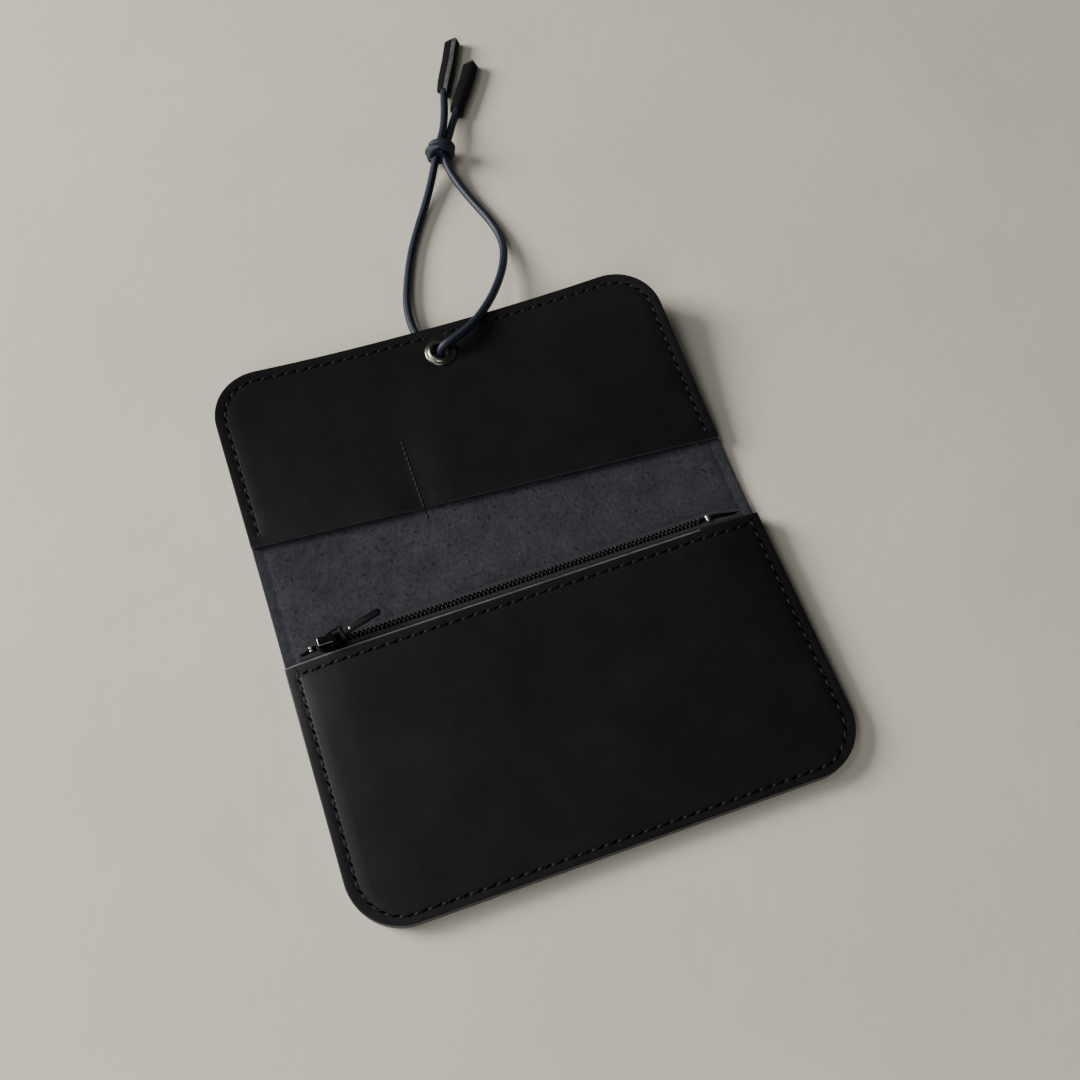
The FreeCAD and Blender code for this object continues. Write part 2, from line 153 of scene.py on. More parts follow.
# %% [markdown]
# The wallet's measures, in millimetres. The cover is measured along the leather, from the pocket's bottom
# edge: that length runs over the two folds. A point on the flap is given by x, that length u, and its
# height w above the leather's inner face. One function turns these into a place in space.

# %% Measures
WIDTH, HALF, EDGE_Y, CORNER_R = 195.0, 97.5, -116.2, 21.0
COVER_T, PANEL_T, PARTITION_T, CARD_T = 1.8, 1.8, 1.4, 1.5
SPINE_START, SPINE_LENGTH, FLAP_LENGTH = 114.2, 12.5, 105.85
TILT = math.radians(1.75)
FLAP_START = SPINE_START + SPINE_LENGTH
LENGTH = FLAP_START + FLAP_LENGTH
POCKET_MID, POCKET_SLANT = 105.0, 2.8
SEAM = 4.2
SPINE_Y = EDGE_Y + SPINE_START
FLAP_Y = SPINE_Y + SPINE_LENGTH * math.cos(TILT)
FLAP_Z = COVER_T + SPINE_LENGTH * math.sin(TILT)
CURL = 6.5


def curl(x, s):
    """The flap's two far corners lift a little."""
    return CURL * max(s / FLAP_LENGTH, 0) ** 1.5 * (abs(x) / HALF) ** 2.2


def on_cover(x, u, w):
    """A place on the cover, in the row's frame."""
    if u <= SPINE_START:
        return x, EDGE_Y + u, COVER_T + w
    turn, y, z, s = (TILT, SPINE_Y, COVER_T, u - SPINE_START) if u < FLAP_START else (
        2 * TILT, FLAP_Y, FLAP_Z, u - FLAP_START)
    if u >= FLAP_START:
        w += curl(x, s)
    return x, y + s * math.cos(turn) - w * math.sin(turn), z + s * math.sin(turn) + w * math.cos(turn)


def mouth(x):
    """The coin pocket's mouth, from the bottom edge."""
    return POCKET_MID + POCKET_SLANT * x / WIDTH


def back_under(x, u):
    """The partition's lower face, from the table."""
    return COVER_T + 0.1 + 1.2 * slope(u, 10, POCKET_MID - 2)


def front_under(x, u):
    """The front panel's lower face: held down at the sides, puffed up between them, lifted by the zip."""
    side = 1 - max(1 - (HALF - abs(x)) / 24, 0) ** 2
    puff = 0.9 * slope(u, 3, 55) * (1 - slope(u, POCKET_MID - 45, POCKET_MID - 5))
    lift = 2.2 * slope(u, POCKET_MID - 45, POCKET_MID - 6)
    return back_under(x, u) + PARTITION_T + 0.1 + (lift + puff) * side


print("cover", WIDTH, "by", LENGTH, "mm along the leather")

# %% [markdown]
# The cord is one length of round elastic that goes through the eyelet and is knotted to itself. Each half
# is a NURBS curve: a smooth line that is pulled towards its control points, which suits a springy cord. The
# control points are listed from the eyelet, over or under the flap's edge, down to the table and
# through the knot.

# %% Cord routes
CORD_D = 3.7
FRONT_ROUTE = [
    (0.3, 103.557, 7.272), (0.3, 103.38, 10.167), (2.2, 104.0, 12.9), (8.3, 105.5, 13.7), (17.4, 110.2, 13.2),
    (28.4, 121.3, 10.6), (37.7, 134.7, 7.2), (43.9, 147.5, 4.4), (46.4, 158.6, 2.6), (45.2, 170.5, 1.9),
    (41.1, 183.4, 1.9), (37.2, 196.6, 2.9), (35.1, 208.4, 4.8), (37.6, 216.2, 5.2), (41.6, 223.4, 4.8),
    (46.6, 232.9, 3.7), (51.4, 240.8, 2.9), (53.6, 244.4, 2.7),
]
BACK_ROUTE = [
    (0.3, 103.557, 7.272), (0.3, 103.679, 5.276), (-0.6, 105.7, 3.5), (-3.8, 112.0, 3.1), (-7.0, 122.6, 3.0),
    (-5.6, 136.6, 2.6), (-0.8, 150.7, 2.1), (4.7, 163.9, 1.9), (11.6, 176.6, 1.9), (19.7, 189.6, 2.4),
    (26.4, 201.6, 3.8), (31.2, 211.0, 5.4), (35.0, 218.0, 6.4), (40.3, 227.4, 6.2), (44.8, 240.0, 4.5),
    (48.1, 252.3, 3.0), (50.4, 257.8, 2.7),
]


def cord_curve(name, route, diameter):
    """A round cord on a smooth NURBS line."""
    data = bpy.data.curves.new(name, "CURVE")
    data.dimensions = "3D"
    data.resolution_u = 10
    data.bevel_depth = diameter / 2 * MM
    data.bevel_resolution = 5
    data.use_fill_caps = True
    line = data.splines.new("NURBS")
    line.points.add(len(route) - 1)
    for point, place in zip(line.points, route):
        point.co = (*(c * MM for c in place), 1)
    line.order_u = 3
    line.use_endpoint_u = True
    piece = bpy.data.objects.new(name, data)
    bpy.context.scene.collection.objects.link(piece)
    return piece


front_strand = cord_curve("cord_front", FRONT_ROUTE, CORD_D)
back_strand = cord_curve("cord_back", BACK_ROUTE, CORD_D)
print("cord points:", len(FRONT_ROUTE), "and", len(BACK_ROUTE))

# %% [markdown]
# The finishes. Black leather is nearly all roughness: its colour is close to black, and what the eye reads
# is a faint broad sheen broken up by grain. So each finish gets noise in its colour, its roughness and its
# bump. The patterns read Object coordinates, in metres, so a scale of 1000 gives details of a millimetre.

# %% Helpers for finishes
def finish(name, colour, roughness, specular=0.5, metallic=0.0):
    """A new material with its even values on the shader itself."""
    mat = bpy.data.materials.new(name)
    mat.use_nodes = True
    shader = mat.node_tree.nodes["Principled BSDF"]
    shader.inputs["Base Color"].default_value = (*colour, 1)
    shader.inputs["Roughness"].default_value = roughness
    shader.inputs["Specular IOR Level"].default_value = specular
    shader.inputs["Metallic"].default_value = metallic
    return mat


def add(mat, kind, **values):
    """A new node with its inputs set by name."""
    made = mat.node_tree.nodes.new(kind)
    for key, value in values.items():
        made.inputs[key.replace("_", " ")].default_value = value
    return made


def place_of(mat, stretch=(1, 1, 1)):
    """Object coordinates, stretched along the axes."""
    coordinates = mat.node_tree.nodes.new("ShaderNodeTexCoord")
    mapping = add(mat, "ShaderNodeMapping", Scale=stretch)
    mat.node_tree.links.new(coordinates.outputs["Object"], mapping.inputs["Vector"])
    return mapping.outputs["Vector"]


def noise(mat, scale, detail=4.0, rough=0.6, stretch=(1, 1, 1)):
    """A noise pattern from 0 to 1."""
    made = add(mat, "ShaderNodeTexNoise", Scale=scale, Detail=detail, Roughness=rough)
    mat.node_tree.links.new(place_of(mat, stretch), made.inputs["Vector"])
    return made.outputs["Fac"]


def ramp(mat, value, stops):
    """Colours along a 0 to 1 value: stops are (position, colour)."""
    made = mat.node_tree.nodes.new("ShaderNodeValToRGB")
    mat.node_tree.links.new(value, made.inputs["Fac"])
    while len(made.color_ramp.elements) < len(stops):
        made.color_ramp.elements.new(0.5)
    for element, (position, colour) in zip(made.color_ramp.elements, stops):
        element.position = position
        element.color = (*colour, 1)
    return made.outputs["Color"]


def mixed(mat, how, a, b, amount=1.0):
    """Two colours blended."""
    made = mat.node_tree.nodes.new("ShaderNodeMix")
    made.data_type = "RGBA"
    made.blend_type = how
    made.inputs[0].default_value = amount
    mat.node_tree.links.new(a, made.inputs[6])
    mat.node_tree.links.new(b, made.inputs[7])
    return made.outputs[2]


def calc(mat, how, *values):
    """A Math node on outputs or numbers."""
    made = mat.node_tree.nodes.new("ShaderNodeMath")
    made.operation = how
    for socket, value in zip(made.inputs, values):
        if isinstance(value, (int, float)):
            socket.default_value = value
        else:
            mat.node_tree.links.new(value, socket)
    return made.outputs[0]


def send(mat, value, name):
    """Send an output to one of the shader's sockets."""
    mat.node_tree.links.new(value, mat.node_tree.nodes["Principled BSDF"].inputs[name])


def bump(mat, height, depth, strength=1.0):
    """Relief of a given depth in metres."""
    made = add(mat, "ShaderNodeBump", Distance=depth, Strength=strength)
    mat.node_tree.links.new(height, made.inputs["Height"])
    send(mat, made.outputs["Normal"], "Normal")


def tint(mat, pattern, *stops):
    """Colour the surface by a pattern."""
    send(mat, ramp(mat, pattern, stops), "Base Color")


def gloss(mat, pattern, spread, least):
    """Vary the roughness by a pattern, from least upwards."""
    send(mat, calc(mat, "MULTIPLY_ADD", pattern, spread, least), "Roughness")


print("finish helpers ready")


# %% [markdown]
# Smooth leather: the grain side, pressed flat and waxed. A very fine pebble and a few soft marks from use.

# %% Smooth leather
leather = finish("smooth_leather", (0.004, 0.004, 0.0045), 0.42, specular=0.24)
pebble = noise(leather, 1400, 3, 0.55)
marks = noise(leather, 45, 5, 0.6)
hair = noise(leather, 260, 4, 0.7, stretch=(1, 0.25, 1))
tint(leather, marks, (0.3, (0.0038, 0.0038, 0.0042)), (0.75, (0.0062, 0.0062, 0.0068)))
gloss(leather, calc(leather, "MULTIPLY", marks, hair), 0.22, 0.37)
bump(leather, calc(leather, "ADD", pebble, calc(leather, "MULTIPLY", marks, 1.5)), 0.00008, 0.5)
print("smooth leather has", len(leather.node_tree.nodes), "nodes")

# %% [markdown]
# The flesh side: the same hide from inside, dyed but not pressed. It is lighter and bluer, mottled, and
# full of fine fibres and pin-prick specks, with no shine at all.

# %% Flesh side
flesh = finish("flesh_side", (0.04, 0.042, 0.052), 0.95, specular=0.12)
cloud = ramp(flesh, noise(flesh, 75, 6, 0.65),
             [(0.25, (0.021, 0.022, 0.0275)), (0.75, (0.039, 0.0405, 0.049))])
fibre = ramp(flesh, noise(flesh, 900, 6, 0.75, stretch=(1, 0.6, 1)),
             [(0.3, (0.45, 0.45, 0.47)), (0.7, (1.5, 1.5, 1.5))])
speck = ramp(flesh, noise(flesh, 520, 2, 0.5), [(0.3, (0.2, 0.2, 0.22)), (0.37, (1, 1, 1))])
send(flesh, mixed(flesh, "MULTIPLY", mixed(flesh, "MULTIPLY", cloud, fibre, 0.8), speck, 0.7), "Base Color")
fuzz = calc(flesh, "ADD", noise(flesh, 1600, 5, 0.7), calc(flesh, "MULTIPLY", noise(flesh, 240, 3), 2.0))
bump(flesh, fuzz, 0.0002, 0.6)
print("flesh side has", len(flesh.node_tree.nodes), "nodes")

# %% [markdown]
# Cut edges: the leather's core shows as a thin, slightly lighter line of packed fibres, rubbed but not
# painted.

# %% Cut edge
cut_edge = finish("cut_edge", (0.05, 0.05, 0.055), 0.6, specular=0.3)
layers = noise(cut_edge, 500, 5, 0.7, stretch=(0.3, 0.3, 3))
tint(cut_edge, layers, (0.3, (0.035, 0.035, 0.037)), (0.7, (0.11, 0.11, 0.115)))
bump(cut_edge, layers, 0.0002, 0.5)
print("leather finishes:", leather.name, flesh.name, cut_edge.name)

# %% [markdown]
# A leather panel is cut as a flat sheet: a plane gets its four corners moved and its outer ones rounded,
# insets draw the line of the seam all round, and bisect slices it into a grid fine enough to bend. Solidify
# gives it thickness and a bevel rubs its edges round. Only then is it laid in place, point by point.

# %% Leather panels
EDGE_LINES = (0.7, SEAM - 1.5, 0.8, 0.8)
STEP = 4.0


def panel(name, corners, rounded, thickness, rows=()):
    """A flat sheet with its top face at 0, in millimetres on the drawing board."""
    clear()
    bpy.ops.mesh.primitive_plane_add(size=1)
    sheet = bpy.context.object
    sheet.name = name
    for v, (x, y) in zip(sheet.data.vertices, corners):
        v.co = (x * MM, y * MM, 0)
    round_at = [Vector((*corners[i], 0)) * MM for i in rounded]
    pick(sheet, "VERT", lambda v: any((v.co - r).length < 1e-5 for r in round_at))
    bpy.ops.mesh.bevel(offset=CORNER_R * MM, affect="VERTICES", segments=14, profile=0.5)
    bpy.ops.object.mode_set(mode="OBJECT")
    for inset in EDGE_LINES:
        largest = max(sheet.data.polygons, key=lambda f: f.area).index
        pick(sheet, "FACE", lambda f: f.index == largest)
        bpy.ops.mesh.inset(thickness=inset * MM, depth=0)
        bpy.ops.object.mode_set(mode="OBJECT")
    low, high = min(c[1] for c in corners), max(c[1] for c in corners)
    columns, lines = int(HALF / STEP), int((high - low - 3) / STEP) + 1
    cuts = [(i * STEP, 0) for i in range(-columns, columns + 1)]
    cuts += [(0, low + 2 + i * STEP) for i in range(lines)]
    cuts += [(0, y) for y in rows]
    bpy.ops.object.mode_set(mode="EDIT")
    for x, y in cuts:
        bpy.ops.mesh.select_all(action="SELECT")
        bpy.ops.mesh.bisect(plane_co=(x * MM, y * MM, 0), plane_no=(0, 1, 0) if y else (1, 0, 0))
    bpy.ops.mesh.select_all(action="SELECT")
    bpy.ops.mesh.remove_doubles(threshold=0.00002)
    bpy.ops.object.mode_set(mode="OBJECT")
    modify(sheet, "SOLIDIFY", thickness=thickness * MM, offset=-1)
    modify(sheet, "BEVEL", width=0.0004, segments=2, limit_method="ANGLE", angle_limit=math.radians(50))
    return sheet


def dress(sheet, above, below, lip=None):
    """Three finishes: the upper face, the lower face and the cut edge between them. lip tells which places on
    the upper face take the lighter cut-edge finish, for a pared edge and the painted highlight along it."""
    for mat in (above, below, cut_edge):
        sheet.data.materials.append(mat)
    for face in sheet.data.polygons:
        face.material_index = 0 if face.normal.z > 0.9 else 1 if face.normal.z < -0.9 else 2
        if lip and face.normal.z > 0.9 and lip(face.center.x / MM, face.center.y / MM):
            face.material_index = 2


def drawn_out(u):
    """Along the pocket's bottom the seam runs a little closer to the edge than at the sides."""
    return 0.9 * (1 - slope(u, 3.3, CORNER_R))


def seam_gap(x, u, flap):
    """How far a point is from the seam round three sides of the flap, or of the pocket."""
    along = LENGTH - u if flap else u + drawn_out(u)
    across = HALF - abs(x)
    if along < CORNER_R and across < CORNER_R:
        return abs(math.hypot(CORNER_R - along, CORNER_R - across) - (CORNER_R - SEAM))
    return min(abs(along - SEAM), abs(across - SEAM))


def pressed(distance, depth=0.28, reach=1.2):
    """How deep the thread has pulled the leather in."""
    return depth * max(0.0, 1 - distance / reach)


fold_rows = [SPINE_START - 6 + 0.8 * i for i in range(32)]
cover_corners = [(-HALF, 0), (HALF, 0), (-HALF, LENGTH), (HALF, LENGTH)]
cover = panel("cover", cover_corners, (0, 1, 2, 3), COVER_T, fold_rows)
dress(cover, flesh, leather)


def lay_cover(x, u, w):
    """The cover's place, with both faces drawn in along the seams."""
    if 100 <= u <= 150:
        gap = abs(HALF - abs(x) - SEAM)
    else:
        gap = seam_gap(x, u, flap=u > 125)
    depth = pressed(gap)
    return on_cover(x, u, w + depth if w < -COVER_T / 2 else w - depth)


reshape(cover, lay_cover)
print("cover faces:", len(cover.data.polygons))

# %% [markdown]
# The cover folds over a narrow strip, and a bending piece may only span one fold. So the finished cover is
# cut across the middle of that strip, where both halves move alike.

# %% Cut the cover at the middle of its fold
def keep_side(piece, y, side):
    """Cut a mesh at y and keep the part above (1) or below (-1) it, closed."""
    take(piece)
    bpy.ops.object.mode_set(mode="EDIT")
    bpy.ops.mesh.select_all(action="SELECT")
    bpy.ops.mesh.bisect(plane_co=(0, y, 0), plane_no=(0, side, 0), use_fill=True, clear_inner=True)
    bpy.ops.object.mode_set(mode="OBJECT")


MIDDLE_Y = (SPINE_Y + SPINE_LENGTH / 2) * MM
cover_flap = cover.copy()
cover_flap.data = cover.data.copy()
cover_flap.name = "cover_flap_half"
bpy.context.scene.collection.objects.link(cover_flap)
cover.name = "cover_pocket_half"
keep_side(cover, MIDDLE_Y, -1)
keep_side(cover_flap, MIDDLE_Y, 1)
for half in (cover, cover_flap):
    smooth_shade(half)
print("halves:", len(cover.data.polygons), len(cover_flap.data.polygons))

# %% [markdown]
# The card pocket is one panel sewn to the flap on three sides. Its open edge is cut on a slant and stands a
# hair off the cover, which gives the bright line and the dark shadow under it. A short seam divides the
# pocket.

# %% Card pocket
MOUTH_LEFT, MOUTH_RIGHT, DIVIDER_X, DIVIDER_LENGTH = 30.3, 18.3, -28.0, 31.5


def card_mouth(x):
    """The open edge, from the bottom edge."""
    return FLAP_START + MOUTH_LEFT + (MOUTH_RIGHT - MOUTH_LEFT) * (x + HALF) / WIDTH


card_corners = [(-HALF, card_mouth(-HALF)), (HALF, card_mouth(HALF)), (-HALF, LENGTH), (HALF, LENGTH)]
card_panel = panel("card_pocket", card_corners, (2, 3), CARD_T)
dress(card_panel, leather, flesh)
EYELET_X, EYELET_U = 0.3, FLAP_START + 93.2


def divider_gap(x, u):
    """Distance from the short seam between the two card pockets."""
    over = max(u - card_mouth(x) - DIVIDER_LENGTH, 0)
    return math.hypot(x - DIVIDER_X, over)


def lay_card(x, u, w):
    """The card pocket's place: pressed at its seams, lifted at its mouth, held down round the eyelet."""
    depth = pressed(seam_gap(x, u, flap=True)) + pressed(divider_gap(x, u), 0.35, 2.5)
    inward, beside = HALF - abs(x), abs(x - DIVIDER_X)
    lip = 0.35 * (1 - slope(u - card_mouth(x), 0, 14)) * slope(inward, 6, 22) * slope(beside, 1, 12)
    swell = 0.25 * slope(inward, 6, 30) * slope(LENGTH - u, 6, 30) * slope(beside, 0, 16)
    ring = 0.45 * (1 - slope(math.hypot(x - EYELET_X, u - EYELET_U), 7, 11))
    if w < -CARD_T / 2:
        depth = 0.0
    return on_cover(x, u, w + CARD_T + 0.1 - depth + lip + swell - ring)


reshape(card_panel, lay_card)
smooth_shade(card_panel)
print("card pocket faces:", len(card_panel.data.polygons))

# %% [markdown]
# The coin pocket has a back and a front panel. The front is held down by its seams at the sides, and
# between them the zip and the contents lift it, so its left side leans towards the window and catches a
# soft sheen.

# %% Coin pocket
pocket_corners = [(-HALF, 0), (HALF, 0), (-HALF, mouth(-HALF)), (HALF, mouth(HALF))]
coin_front = panel("coin_pocket_front_panel", pocket_corners, (0, 1), PANEL_T)
# The mouth's top edge, left of x = 72, takes the lighter cut-edge finish: a pared edge, and a painted highlight
# where the light catches it, stopping where the edge falls dark on the right.
dress(coin_front, leather, flesh, lip=lambda x, u: u > mouth(x) - 0.69 and x < 72)


def lay_front(x, u, w):
    """The front panel's place, with its seams, a slight unevenness and two raised upper corners."""
    depth = pressed(seam_gap(x, u, flap=False)) if u < mouth(x) - 1 else 0.0
    depth = max(depth, pressed(abs(mouth(x) - u - SEAM), 0.3) if abs(x) < HALF - SEAM + 1 else 0.0)
    soft = 0.12 * math.sin(x / 17 + 0.4) * math.sin(u / 21 + 1.1)
    soft *= slope(HALF - abs(x), 4, 20) * slope(u, 4, 20)
    corner = 0.5 * slope(u, mouth(x) - 14, mouth(x)) * slope(abs(x), HALF - 14, HALF)
    if w < -PANEL_T / 2:
        depth = soft = 0.0
    return x, EDGE_Y + u, front_under(x, u) + PANEL_T + w - depth + soft + corner


reshape(coin_front, lay_front)
smooth_shade(coin_front)
back_corners = [(x, y + (1.0 if y > 50 else 0)) for x, y in pocket_corners]
coin_back = panel("coin_pocket_back_panel", back_corners, (0, 1), PARTITION_T)
dress(coin_back, flesh, leather)
reshape(coin_back, lambda x, u, w: (x, EDGE_Y + u, back_under(x, u) + PARTITION_T + w))
smooth_shade(coin_back)
print("coin pocket faces:", len(coin_front.data.polygons), len(coin_back.data.polygons))

# %% [markdown]
# Thread. Waxed polyester, sewn by hand with two needles, so each stitch leans a little and dips into a
# slanted hole at each end. One stitch is modelled from a sphere and copied along the seam.

# %% Thread
thread = finish("waxed_thread", (0.012, 0.012, 0.013), 0.6, specular=0.25)
twist = noise(thread, 1500, 3, 0.6)
tint(thread, twist, (0.3, (0.004, 0.004, 0.0045)), (0.7, (0.012, 0.012, 0.013)))
bump(thread, twist, 0.00015, 0.7)
# The needle holes are shallow dips coloured near-black: painted shade for the depth of each hole.
hole_painted_shade = finish("needle_hole_painted_shade", (0.0015, 0.0015, 0.0015), 1.0, specular=0.0)
tint(hole_painted_shade, noise(hole_painted_shade, 900), (0.3, (0.001, 0.001, 0.001)), (0.7, (0.002, 0.002, 0.002)))

STITCH_LONG, STITCH_WIDE, STITCH_HIGH, STITCH_DIP = 1.45, 0.36, 0.4, 0.6
HOLE_LONG, HOLE_WIDE, HOLE_RIM, HOLE_DEPTH = 1.3, 0.38, 0.03, 0.15
clear()
bpy.ops.mesh.primitive_uv_sphere_add(segments=8, ring_count=7, radius=MM)
stitch = bpy.context.object
bpy.ops.transform.rotate(value=math.pi / 2, orient_axis="Y", center_override=(0, 0, 0))
settle(stitch)
reshape(stitch, lambda x, y, z: (x * STITCH_LONG, y * STITCH_WIDE, z * STITCH_HIGH - STITCH_DIP * x * x))
clear()
bpy.ops.mesh.primitive_circle_add(vertices=10, radius=MM, fill_type="TRIFAN")
hole = bpy.context.object
reshape(hole, lambda x, y, z: (x * HOLE_LONG, y * HOLE_WIDE,
                               HOLE_RIM if math.hypot(x, y) > 0.5 else -HOLE_DEPTH))
print("one stitch has", len(stitch.data.polygons), "faces")


def run_seam(name, model, places, put, material, lean=0.0):
    """Copies of one model at places (x, u, heading), each point laid by put, joined as one piece."""
    copies = []
    for x, u, heading in places:
        c, s = math.cos(heading + lean), math.sin(heading + lean)
        one = bpy.data.objects.new(name, model.data.copy())
        bpy.context.scene.collection.objects.link(one)
        reshape(one, lambda a, b, h: put(x + a * c - b * s, u + a * s + b * c, h))
        copies.append(one)
    clear()
    for one in copies:
        one.select_set(True)
    bpy.context.view_layer.objects.active = copies[0]
    bpy.ops.object.join()
    seam = bpy.context.object
    seam.name = name
    seam.data.materials.clear()
    seam.data.materials.append(material)
    smooth_shade(seam, 60)
    return seam


def walk(path, pitch=5.0, offset=0.5):
    """Even places along a path of straight runs and arcs, as (x, u, heading)."""
    total = sum(length for length, _ in path)
    count = round(total / pitch)
    places = []
    for i in range(count + (0 if offset else 1)):
        left = (i + offset) * total / count
        for length, at in path:
            if left <= length or at is path[-1][1]:
                break
            left -= length
        places.append(at(left))
    return places


def run(a, b):
    """A straight run of the seam."""
    length = math.dist(a, b)
    heading = math.atan2(b[1] - a[1], b[0] - a[0])
    return length, lambda d: (a[0] + (b[0] - a[0]) * d / length, a[1] + (b[1] - a[1]) * d / length, heading)


def bend(centre, start, end):
    """A rounded corner of the seam, between two angles in degrees."""
    radius, way = CORNER_R - SEAM, 1 if end > start else -1
    length = radius * math.radians(abs(end - start))

    def at(d):
        turn = math.radians(start) + way * d / radius
        x, u = centre[0] + radius * math.cos(turn), centre[1] + radius * math.sin(turn)
        return x, u, turn + way * math.pi / 2

    return length, at


IN_X, KNEE = HALF - SEAM, HALF - CORNER_R
pocket_path = [
    run((-IN_X, mouth(-IN_X) - 2), (-IN_X, CORNER_R)), bend((-KNEE, CORNER_R), 180, 270),
    run((-KNEE, SEAM), (KNEE, SEAM)), bend((KNEE, CORNER_R), 270, 360),
    run((IN_X, CORNER_R), (IN_X, mouth(IN_X) - 2)),
]
zip_path = [run((-IN_X + 3, mouth(-IN_X) - SEAM), (IN_X - 3, mouth(IN_X) - SEAM))]
HIGH = LENGTH - CORNER_R
flap_path = [
    run((-IN_X, card_mouth(-IN_X) + 2), (-IN_X, HIGH)), bend((-KNEE, HIGH), 180, 90),
    run((-KNEE, LENGTH - SEAM), (KNEE, LENGTH - SEAM)), bend((KNEE, HIGH), 90, 0),
    run((IN_X, HIGH), (IN_X, card_mouth(IN_X) + 2)),
]
DIVIDER_U = card_mouth(DIVIDER_X)
divider_path = [run((DIVIDER_X, DIVIDER_U - 5), (DIVIDER_X, DIVIDER_U + DIVIDER_LENGTH))]


def near_edge(places):
    """The pocket's seam, moved out along the bottom."""
    return [(x, u - drawn_out(u), heading) for x, u, heading in places]


def off_eyelet(places):
    """A seam without the stitches that the eyelet leaves no room for."""
    return [p for p in places if math.hypot(p[0] - EYELET_X, p[1] - EYELET_U) > 9.0]


def on_front(x, u, w):
    x, y, z = lay_front(x, u, 0.0)
    return x, y, z + w + 0.2


def on_card(x, u, w):
    return lay_card(x, u, w * 0.8 + 0.1)


def on_divider(x, u, w):
    """On the card pocket, down over its open edge, and a little way onto the cover."""
    high = slope(u - card_mouth(x), -1.0, 0.2)
    low_at, high_at = Vector(on_cover(x, u, w * 0.6 + 0.1)), Vector(on_card(x, u, w))
    return low_at.lerp(high_at, high)


def under_pocket(x, u, w):
    return x, EDGE_Y + u, 0.42 - w * 0.85


def under_flap(x, u, w):
    return on_cover(x, u, -COVER_T + 0.2 - w)


def sew(name, path, put, shift=off_eyelet):
    """A seam: its stitches, and the slanted holes between them, coloured near-black as painted shade."""
    threads = run_seam(name, stitch, shift(walk(path)), put, thread, lean=0.16)
    holes = run_seam(name + "_holes", hole, shift(walk(path, offset=0)), put, hole_painted_shade, lean=0.3)
    return threads, holes


seam_pocket = sew("seam_pocket_thread", pocket_path, on_front, near_edge)
seam_zip = sew("seam_zip_thread", zip_path, on_front)
seam_flap = sew("seam_flap_thread", flap_path, on_card)
seam_divider = run_seam("seam_divider_thread", stitch, walk(divider_path, pitch=2.5), on_divider, thread)
seam_pocket_back = run_seam("seam_pocket_back", stitch, near_edge(walk(pocket_path)), under_pocket, thread,
                            lean=0.16)
seam_flap_back = run_seam("seam_flap_back", stitch, off_eyelet(walk(flap_path)), under_flap, thread,
                          lean=0.16)
seam_divider_back = run_seam("seam_divider_back", stitch, walk(divider_path), under_flap, thread, lean=0.16)
for model in (stitch, hole):
    bpy.data.objects.remove(model)
print("faces in the seams:", [len(seam[0].data.polygons) for seam in (seam_pocket, seam_zip, seam_flap)])

# %% [markdown]
# The zip. Its tapes are woven, so they get a fine cross-wise rib; the chain is two rows of small metal
# teeth that interlock. A tooth is modelled once, with a rounded head, and copied at the zip's pitch.

# %% Zip finishes
tape_cloth = finish("zip_tape", (0.014, 0.014, 0.016), 0.9, specular=0.2)
rib = add(tape_cloth, "ShaderNodeTexWave", Scale=900.0, Distortion=0.6)
rib.bands_direction = "X"
tape_cloth.node_tree.links.new(place_of(tape_cloth), rib.inputs["Vector"])
tint(tape_cloth, rib.outputs["Fac"], (0.2, (0.013, 0.013, 0.014)), (0.8, (0.042, 0.042, 0.045)))
bump(tape_cloth, rib.outputs["Fac"], 0.0002, 0.8)
tooth_metal = finish("zip_teeth_metal", (0.03, 0.03, 0.033), 0.45, specular=0.5, metallic=0.7)
tint(tooth_metal, noise(tooth_metal, 700, 3), (0.35, (0.006, 0.006, 0.0065)), (0.75, (0.026, 0.026, 0.028)))
black_metal = finish("slider_lacquer", (0.005, 0.005, 0.0055), 0.4, specular=0.08)
chip = noise(black_metal, 900, 4, 0.7)
tint(black_metal, chip, (0.5, (0.0022, 0.0022, 0.0025)), (0.8, (0.01, 0.01, 0.011)))
gloss(black_metal, chip, 0.3, 0.2)
bright_metal = finish("stop_nickel", (0.5, 0.5, 0.52), 0.25, specular=0.5, metallic=1.0)
gloss(bright_metal, noise(bright_metal, 1200, 3), 0.3, 0.2)
print("zip finishes ready")

# %% [markdown]
# The zip lies along the pocket's mouth, which climbs a little to the right. One tape comes out from under the
# front panel. The other lies below and folds up to the teeth. Both sink a little at their ends.

# %% Zip tapes
CHAIN_V, CHAIN_Z, SLANT = 3.9, 7.0, math.atan(POCKET_SLANT / WIDTH)
TAPE_REACH, TAPE_T = 91, 0.38
FRONT_TAPE = [
    (-6, 5.95), (-3, 6.1), (-0.5, 6.32), (0.2, 6.4), (0.8, 6.62), (1.3, 6.85), (2.0, 7.0), (2.6, 7.0),
]
BACK_TAPE = [
    (-6, 4.8), (0, 4.8), (4.8, 4.8), (6.1, 5.0), (6.45, 5.6), (6.4, 6.4), (6.1, 6.9), (5.5, 7.0), (4.9, 7.0),
]


def on_zip(x, v, z):
    """From the zip's own line to the row's frame."""
    c, s = math.cos(SLANT), math.sin(SLANT)
    return x * c - v * s, EDGE_Y + POCKET_MID + x * s + v * c, z


